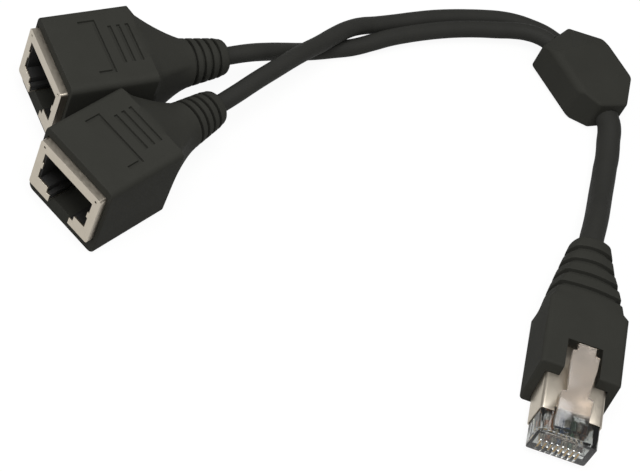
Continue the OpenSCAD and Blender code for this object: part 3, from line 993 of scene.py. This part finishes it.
@dataclass
class Junction:
    """The moulded block that joins the branch cables to the trunk, in a frame turned with it.

    Attributes:
        turn_deg: Turn about Z; 0 has the trunk leave along +X.
        width: Width across the cables.
        height: Height of the full part.
        bevel: Bevel along the long edges.
        ahead: Full-width end towards the branch cables, on the side of the sockets and on the
            other; None where the end face itself runs out to the flank.
        behind: Full-width end towards the trunk cable.
        crest: Where the top starts to fall towards the branch cables.
        inlet: Centre of the face at the branch cables, in the lead's frame.
        inlet_w: Width of that face.
        inlet_h: Height of that face.
        inlet_deg: Heading of the cables there.
        outlet: Centre of the face at the trunk cable, in the lead's frame.
        outlet_w: Width of that face.
        outlet_low: Height of its lower edge.
        outlet_high: Height of its upper edge.
        outlet_deg: Heading of the cable there.
        edge_mm: Rounding of the edges.
        edge_steps: Faces across that rounding.
        edge_deg: Turn between faces from which an edge is rounded.
    """

    turn_deg: float = -5.0
    width: float = 14.0
    height: float = 9.0
    bevel: float = 0.9
    ahead: tuple[float | None, float | None] = (None, -2.8)
    behind: float = 4.7
    crest: float = -5.0
    inlet: tuple[float, float] = (-10.685, 0.45)
    inlet_w: float = 8.2
    inlet_h: float = 5.9
    inlet_deg: float = 15.0
    outlet: tuple[float, float] = (9.8, -1.8)
    outlet_w: float = 6.4
    outlet_low: float = 0.8
    outlet_high: float = 8.0
    outlet_deg: float = -18.0
    edge_mm: float = 0.7
    edge_steps: int = 4
    edge_deg: float = 10.0

    def local(self, place: tuple[float, float]) -> Vector:
        """Turns a place in the lead's plan into the block's own frame."""
        turn = Matrix.Rotation(math.radians(-self.turn_deg), 3, "Z")
        return turn @ Vector((place[0], place[1], 0))

    def cut(self, place: Vector, outwards: Vector) -> None:
        """Cuts everything off beyond a plane and closes the cut.

        Args:
            place: A point of the plane, in millimetres.
            outwards: Direction of what goes.
        """
        bpy.ops.mesh.select_all(action="SELECT")
        bpy.ops.mesh.bisect(plane_co=place * MM, plane_no=outwards.normalized(), use_fill=True,
                            clear_outer=True)

    def end(self, centre: tuple[float, float], width: float, heading_deg: float,
            corners: tuple[float | None, float | None]) -> None:
        """Cuts one end face and the slanted sides that lead to it.

        Args:
            centre: Centre of the end face, in the lead's frame.
            width: Width of the end face.
            heading_deg: Direction that the face looks in, in the lead's frame.
            corners: Where the full width ends, on the side of -Y and of +Y; None for no slant.
        """
        middle = self.local(centre)
        turn = math.radians(heading_deg - self.turn_deg)
        ahead = Vector((math.cos(turn), math.sin(turn), 0))
        across = Vector((-ahead.y, ahead.x, 0))
        if across.y < 0:
            across = -across
        self.cut(middle, ahead)
        for side, corner_x in zip((-1, 1), corners):
            if corner_x is None:
                continue
            tip = middle + across * side * width / 2
            corner = Vector((corner_x, side * self.width / 2, 0))
            slant = tip - corner
            outwards = Vector((-slant.y, slant.x, 0))
            if outwards.y * side < 0:
                outwards = -outwards
            self.cut(corner, outwards)

    def build(self, finishes: dict[Slot, bpy.types.Material]) -> None:
        """Cuts the block from a long bar and rounds its edges.

        Args:
            finishes: Materials by slot.
        """
        piece = box(4 * self.width, -self.width / 2, self.width, 0, self.height)
        piece.name = "junction_overmould"
        edit(piece)
        for side in (-1, 1):
            for level, up in ((0, -1), (self.height, 1)):
                self.cut(Vector((0, side * (self.width / 2 - self.bevel), level)),
                         Vector((0, side, up)))
        drop = (self.height - self.inlet_h) / (math.hypot(*self.inlet) + self.crest)
        self.cut(Vector((self.crest, 0, self.height)), Vector((-drop, 0, 1)))
        run = self.outlet[0] - self.behind
        self.cut(Vector((self.behind, 0, self.height)),
                 Vector((self.height - self.outlet_high, 0, run)))
        self.cut(Vector((self.behind, 0, 0)), Vector((self.outlet_low, 0, -run)))
        self.end(self.inlet, self.inlet_w, self.inlet_deg + 180, self.ahead)
        self.end(self.outlet, self.outlet_w, self.outlet_deg, (self.behind, self.behind))
        bpy.ops.object.mode_set(mode="OBJECT")
        round_edges(piece, self.edge_mm, self.edge_steps, self.edge_deg)
        smooth(piece, COARSE_DEG)
        put(piece, Matrix.Rotation(math.radians(self.turn_deg), 4, "Z"))
        hand_over(piece, finishes[Slot.OVERMOULD], "junction_block")


@dataclass
class Boot:
    """The plug's overmoulded boot, in the plug's own frame: nose at y = 0, cable towards +Y.

    Attributes:
        width: Width at the plug.
        height: Height at the plug.
        corner_r: Rounding of the long edges.
        front: Distance from the nose to the lower front edge.
        rake: How far the upper front edge lies behind the lower one.
        front_r: Rounding of the front edges.
        front_steps: Faces across that rounding.
        shoulder: Where the boot starts to narrow.
        shoulder_steps: Sections round that place, counted from it.
        narrowing: Power of the curve by which it narrows; 1 is straight.
        powers: Powers of its superellipse at the shoulder and where it is roundest.
        pace: Length that narrows over the part of it in which the powers change.
        end: Distance from the nose to the cable end.
        end_w: Width at the cable end.
        end_wall: Steps of the rounding there: distance before the end, and depth.
        middle: Height of the cable's centre.
        groove: Distance of the first groove, spacing and width.
        groove_wall: Steps down a groove's wall.
        grooves: Number of grooves.
        pocket: Room for the plug: width, length, underside and height.
        notch: Room for the latch: width, length and underside.
    """

    width: float = 15.6
    height: float = 10.6
    corner_r: float = 1.0
    front: float = 10.6
    rake: float = 2.4
    front_r: float = 0.4
    front_steps: int = 3
    shoulder: float = 28.0
    shoulder_steps: tuple[float, ...] = (-4.0, 0.0, 1.4, 2.6)
    narrowing: float = 1.15
    powers: tuple[float, float] = (7.0, 2.6)
    pace: float = 1.6
    end: float = 45.7
    end_w: float = 7.8
    end_wall: Wall = ((0.8, 0.0), (0.4, 0.12), (0.12, 0.4), (0.0, 0.8))
    middle: float = 5.3
    groove: tuple[float, float, float] = (31.25, 3.375, 1.65)
    groove_wall: Wall = ((0.0, 0.0), (0.14, 0.08), (0.3, 0.85), (0.45, 1.0))
    grooves: int = 4
    pocket: tuple[float, float, float, float] = (12.1, 21.55, 1.25, 7.0)
    notch: tuple[float, float, float] = (6.8, 19.4, 7.9)

    def section(self, along: float, cut: float = 0.0) -> Section:
        """One section of the boot.

        Args:
            along: Distance from the nose.
            cut: Depth below the surface.

        Returns:
            The section.
        """
        share = max(0.0, (along - self.shoulder) / (self.end - self.shoulder))
        eased = share ** self.narrowing
        wide = self.width / 2 + (self.end_w - self.width) / 2 * eased
        high = self.height / 2 + (self.end_w - self.height) / 2 * eased
        first, last = self.powers
        power = first - (first - last) * min(1.0, self.pace * share)
        shape = 0.0 if share == 0 else roundness(power)
        return Section(along, wide - cut, high - cut, self.middle, shape)

    def sections(self) -> list[Section]:
        """Sections from the front to the cable.

        Returns:
            The sections.
        """
        rings = [self.section(self.front)]
        rings += [self.section(self.shoulder + step) for step in self.shoulder_steps]
        first, pitch, width = self.groove
        for number in range(self.grooves):
            start = first + pitch * number
            rings += [self.section(start + step, cut)
                      for step, cut in groove_steps(width, self.groove_wall)]
        return rings + [self.section(self.end - back, cut) for back, cut in self.end_wall]

    def build(self) -> bpy.types.Object:
        """Draws the boot out, rakes its front and cuts the plug's pocket and the latch's notch.

        Returns:
            The boot in the plug's frame.
        """
        piece = Moulding("plug_boot_overmould", self.corner_r, self.sections()).build()
        edit(piece)
        lean = Vector((0, -self.height, self.rake)).normalized()
        bpy.ops.mesh.bisect(plane_co=(0, self.front * MM, 0), plane_no=lean, use_fill=True,
                            clear_outer=True)
        bpy.ops.mesh.bevel(offset=self.front_r * MM, segments=self.front_steps, affect="EDGES")
        bpy.ops.object.mode_set(mode="OBJECT")
        width, length, low, high = self.pocket
        subtract(piece, box(width, 0, length, low, high))
        width, length, low = self.notch
        subtract(piece, box(width, 0, length, low, self.height))
        smooth(piece, MOULDED_DEG)
        return piece


@dataclass
class Plug:
    """The booted plug: clear body with latch, shield, blades, load bar, wires and boot.

    Attributes:
        nose: Centre of the nose, at the height of the wires.
        turn_deg: Turn about Z; 0 has the cable leave along +Y.
        pitch: Spacing of the wires.
        wire: Outer diameter of a wire's insulation.
        wire_sides: Faces round a wire.
        wire_front: Distance from the nose to the front of the insulation.
        wire_run: Length of the straight wires.
        wall_share: Thickness of the insulation, in diameters of the wire.
        core_out: How far the core stands out of the insulation.
        roof: Height above which the clear body is the latch.
        root: Distance from the nose to the end of the latch's clear root.
    """

    nose: Point = (66.346, -60.574, 4.35)
    turn_deg: float = 44.0
    pitch: float = 1.02
    wire: float = 0.9
    wire_sides: int = 20
    wire_front: float = 1.8
    wire_run: float = 19.7
    wall_share: float = 0.22
    core_out: float = 0.15
    roof: float = 7.93
    root: float = 4.9

    # Colours of the insulation across the plug: the wire's own, and its rings on the pale wires
    ORDER = (("#8f887c", "#8c5a34"), ("#8c5a34", None), ("#8f887c", "#46604c"), ("#3c4f6b", None),
             ("#8f887c", "#3c4f6b"), ("#46604c", None), ("#8f887c", "#5a4030"), ("#5a4030", None))

    def insulation(self, number: int) -> bpy.types.Material:
        """Finish of one wire: coloured polyethylene, smooth from extrusion, ringed if pale.

        Args:
            number: The wire's number across the plug, from 0.

        Returns:
            The material.
        """
        colour, stripe = self.ORDER[number]
        name = f"wire_insulation_{number + 1}"
        shared = (name, colour, colour, 1.0, (0.3, 0.42), 0.2, 0.002)
        if stripe is None:
            return Finish(*shared, ior=1.51).build()
        return StripedFinish(*shared, ior=1.51, turn_deg=self.turn_deg, stripe=stripe).build()

    def place(self) -> Matrix:
        """Turns the plug's own frame, with the nose at the origin, into the lead's frame."""
        turn = Matrix.Rotation(math.radians(self.turn_deg), 4, "Z")
        return Matrix.Translation(Vector(self.nose) * MM) @ turn

    def wires(self) -> None:
        """Models one insulated wire with its cut end and copies it across the plug."""
        deselect()
        middle = self.wire_front + self.wire_run / 2
        bpy.ops.mesh.primitive_cylinder_add(
            vertices=self.wire_sides, radius=self.wire / 2 * MM, depth=self.wire_run * MM,
            location=(0, middle * MM, 0), rotation=(math.radians(90), 0, 0))
        first = bpy.context.object
        settle(first)
        pick(first, lambda place: place.y < middle * MM)
        bpy.ops.mesh.inset(thickness=self.wire * self.wall_share * MM)
        bpy.ops.mesh.extrude_region_move(
            TRANSFORM_OT_translate={"value": (0, -self.core_out * MM, 0)})
        bpy.ops.object.mode_set(mode="OBJECT")
        bpy.ops.object.shade_smooth_by_angle(angle=math.radians(COARSE_DEG))
        for number in range(len(self.ORDER)):
            across = (number - (len(self.ORDER) - 1) / 2) * self.pitch
            mesh = first.data.copy()
            mesh.transform(self.place() @ Matrix.Translation((across * MM, 0, 0)))
            piece = add_object(f"insulated_wire_{number + 1}", mesh)
            hand_over(piece, self.insulation(number), "plug_wires")
        bpy.data.objects.remove(first)

    def frost_and_paint_light_on_latch(self, body: bpy.types.Object) -> None:
        """Gives the latch, clear of the body behind its root, a frosted finish with painted light.

        Args:
            body: The clear body with its latch, dressed.
        """
        # Painted light: a pale diffuse share for the light that shines through the latch
        body.data.materials.append(FROSTED_PAINTED_LIGHT.build())
        into_plug = self.place().inverted()
        for face in body.data.polygons:
            if face.center.z > self.roof * MM and (into_plug @ face.center).y > self.root * MM:
                face.material_index = 1

    def build(self, finishes: dict[Slot, bpy.types.Material]) -> None:
        """Builds the plug's pieces.

        Args:
            finishes: Materials by slot.
        """
        boot = Boot().build()
        foot = Matrix.Translation((0, 0, -self.nose[2] * MM))
        put(boot, foot @ self.place())
        hand_over(boot, finishes[Slot.OVERMOULD], "plug_boot")
        parts = (
            (Softened("plug_shield", "plug_shield_can", 0.05), Slot.SHIELD),
            (Softened("plug_contacts", "plug_blades", 0.04), Slot.CONTACTS),
            (Softened("plug_load_bar", "plug_load_comb", 0.05), Slot.INNER),
            (Softened("plug_body", "plug_clear_body", 0.06), Slot.CLEAR),
        )
        for part, slot in parts:
            piece = part.build()
            hand_over(piece, finishes[slot], part.node)
            if slot is Slot.CLEAR:
                self.frost_and_paint_light_on_latch(piece)
        self.wires()


@dataclass(frozen=True)
class Lamp:
    """A soft square lamp.

    Attributes:
        name: Its name.
        place: Where it stands.
        side: Length of its sides.
        watts: Its power.
    """

    name: str
    place: Point
    side: float
    watts: float


@dataclass
class Studio:
    """Pale floor, soft lights and the camera at the photo's viewing angle.

    Attributes:
        target: Point on the floor that the camera looks at.
        azimuth_deg: Turn of the view about Z; 0 looks along +Y.
        elevation_deg: Height of the view above the floor.
        roll_deg: Turn of the picture about the line of sight.
        distance: Distance from the camera to the target.
        lens: Focal length.
        sensor: Width of the sensor.
        clip: Nearest and farthest distance that the camera sees.
        floor_side: Length of the floor's sides.
        floor_colour: Colour of the paper, sRGB hex.
        floor_glow: Share of the paper's own white that the camera, gloss and clear pieces see.
        floor_light: Strength of that white.
        lamps: The lamps.
        aim: Where they all point.
        sky: Strength of the even sky.
    """

    target: Point = (8.6, -73.3, 0.0)
    azimuth_deg: float = 33.0
    elevation_deg: float = 50.9
    roll_deg: float = 28.0
    distance: float = 371.0
    lens: float = 112.5
    sensor: float = 36.0
    clip: tuple[float, float] = (10.0, 10000.0)
    floor_side: float = 1600.0
    floor_colour: str = "#b4b4b2"
    floor_glow: tuple[float, float, float] = (0.82, 0.45, 0.4)
    floor_light: float = 1.13
    lamps: tuple[Lamp, ...] = (Lamp("key", (60, -160, 500), 320, 2.1),
                               Lamp("front", (-60, -420, 200), 260, 0.36))
    aim: Point = (0.0, -60.0, 0.0)
    sky: float = 0.3

    def camera(self) -> None:
        """Adds the camera and makes it the scene's."""
        azimuth, elevation = math.radians(self.azimuth_deg), math.radians(self.elevation_deg)
        sight = Vector((-math.sin(azimuth) * math.cos(elevation),
                        math.cos(azimuth) * math.cos(elevation), -math.sin(elevation)))
        data = bpy.data.cameras.new("view")
        data.lens = self.lens
        data.sensor_width = self.sensor
        data.sensor_fit = "HORIZONTAL"
        data.clip_start, data.clip_end = self.clip[0] * MM, self.clip[1] * MM
        camera = add_object("view", data)
        level = sight.to_track_quat("-Z", "Y").to_matrix().to_4x4()
        roll = Matrix.Rotation(math.radians(self.roll_deg), 4, "Z")
        place = Matrix.Translation((Vector(self.target) - sight * self.distance) * MM)
        camera.matrix_world = place @ level @ roll
        bpy.context.scene.camera = camera

    def floor(self) -> None:
        """Adds the floor, which shows white to the camera and keeps the object's shadow."""
        deselect()
        bpy.ops.mesh.primitive_plane_add(size=self.floor_side * MM, location=(0, 0, 0))
        floor = bpy.context.object
        floor.name = "studio_floor"
        # White card, matt: its own white is mixed in for rays that show the floor, not light it
        material = bpy.data.materials.new("matt_white_paper")
        material.use_nodes = True
        tree = material.node_tree
        tree.nodes.clear()
        paper = add_node(tree, "ShaderNodeBsdfDiffuse", {"Color": linear(self.floor_colour)})
        glow = add_node(tree, "ShaderNodeEmission",
                        {"Color": (1, 1, 1, 1), "Strength": self.floor_light})
        rays = add_node(tree, "ShaderNodeLightPath")
        kinds = ("Is Camera Ray", "Is Glossy Ray", "Is Transmission Ray")
        shares = [add_node(tree, "ShaderNodeMath", {"operation": "MULTIPLY", 1: glow_share},
                           {0: rays.outputs[kind]}).outputs[0]
                  for kind, glow_share in zip(kinds, self.floor_glow)]
        share = shares[0]
        for other in shares[1:]:
            share = add_node(tree, "ShaderNodeMath", {"operation": "MAXIMUM"},
                             {0: share, 1: other}).outputs[0]
        mix = add_node(tree, "ShaderNodeMixShader", {},
                       {0: share, 1: paper.outputs[0], 2: glow.outputs[0]})
        add_node(tree, "ShaderNodeOutputMaterial", {}, {"Surface": mix.outputs[0]})
        floor.data.materials.append(material)

    def lights(self) -> None:
        """Adds the soft lamps and the even sky."""
        for lamp in self.lamps:
            data = bpy.data.lights.new(lamp.name, "AREA")
            data.size = lamp.side * MM
            data.energy = lamp.watts
            sight = Vector(self.aim) - Vector(lamp.place)
            turn = sight.to_track_quat("-Z", "Y").to_matrix().to_4x4()
            place = Matrix.Translation(Vector(lamp.place) * MM)
            add_object(lamp.name, data).matrix_world = place @ turn
        world = bpy.data.worlds.new("even_sky")
        world.use_nodes = True
        background = world.node_tree.nodes["Background"]
        background.inputs["Color"].default_value = (1, 1, 1, 1)
        background.inputs["Strength"].default_value = self.sky
        bpy.context.scene.world = world

    def build(self) -> None:
        """Sets up the view, the floor and the light."""
        self.camera()
        self.floor()
        self.lights()
        bpy.context.scene.view_settings.view_transform = "Standard"


def main() -> None:
    """Builds the view, the cables and every sub-assembly in order."""
    logging.basicConfig(level=logging.INFO, format="%(name)s: %(message)s")
    Studio().build()
    finishes = {slot: finish.build() for slot, finish in FINISHES.items()}
    cabling = Cabling()
    cabling.build(finishes[Slot.JACKET])
    housing = Housing().build()
    Socket("a", cabling.route_a[0], 10.0).build(housing, finishes)
    Socket("b", cabling.route_b[0], -10.0).build(housing, finishes)
    bpy.data.objects.remove(housing)
    Junction().build(finishes)
    Plug().build(finishes)


if __name__ == "__main__":
    main()
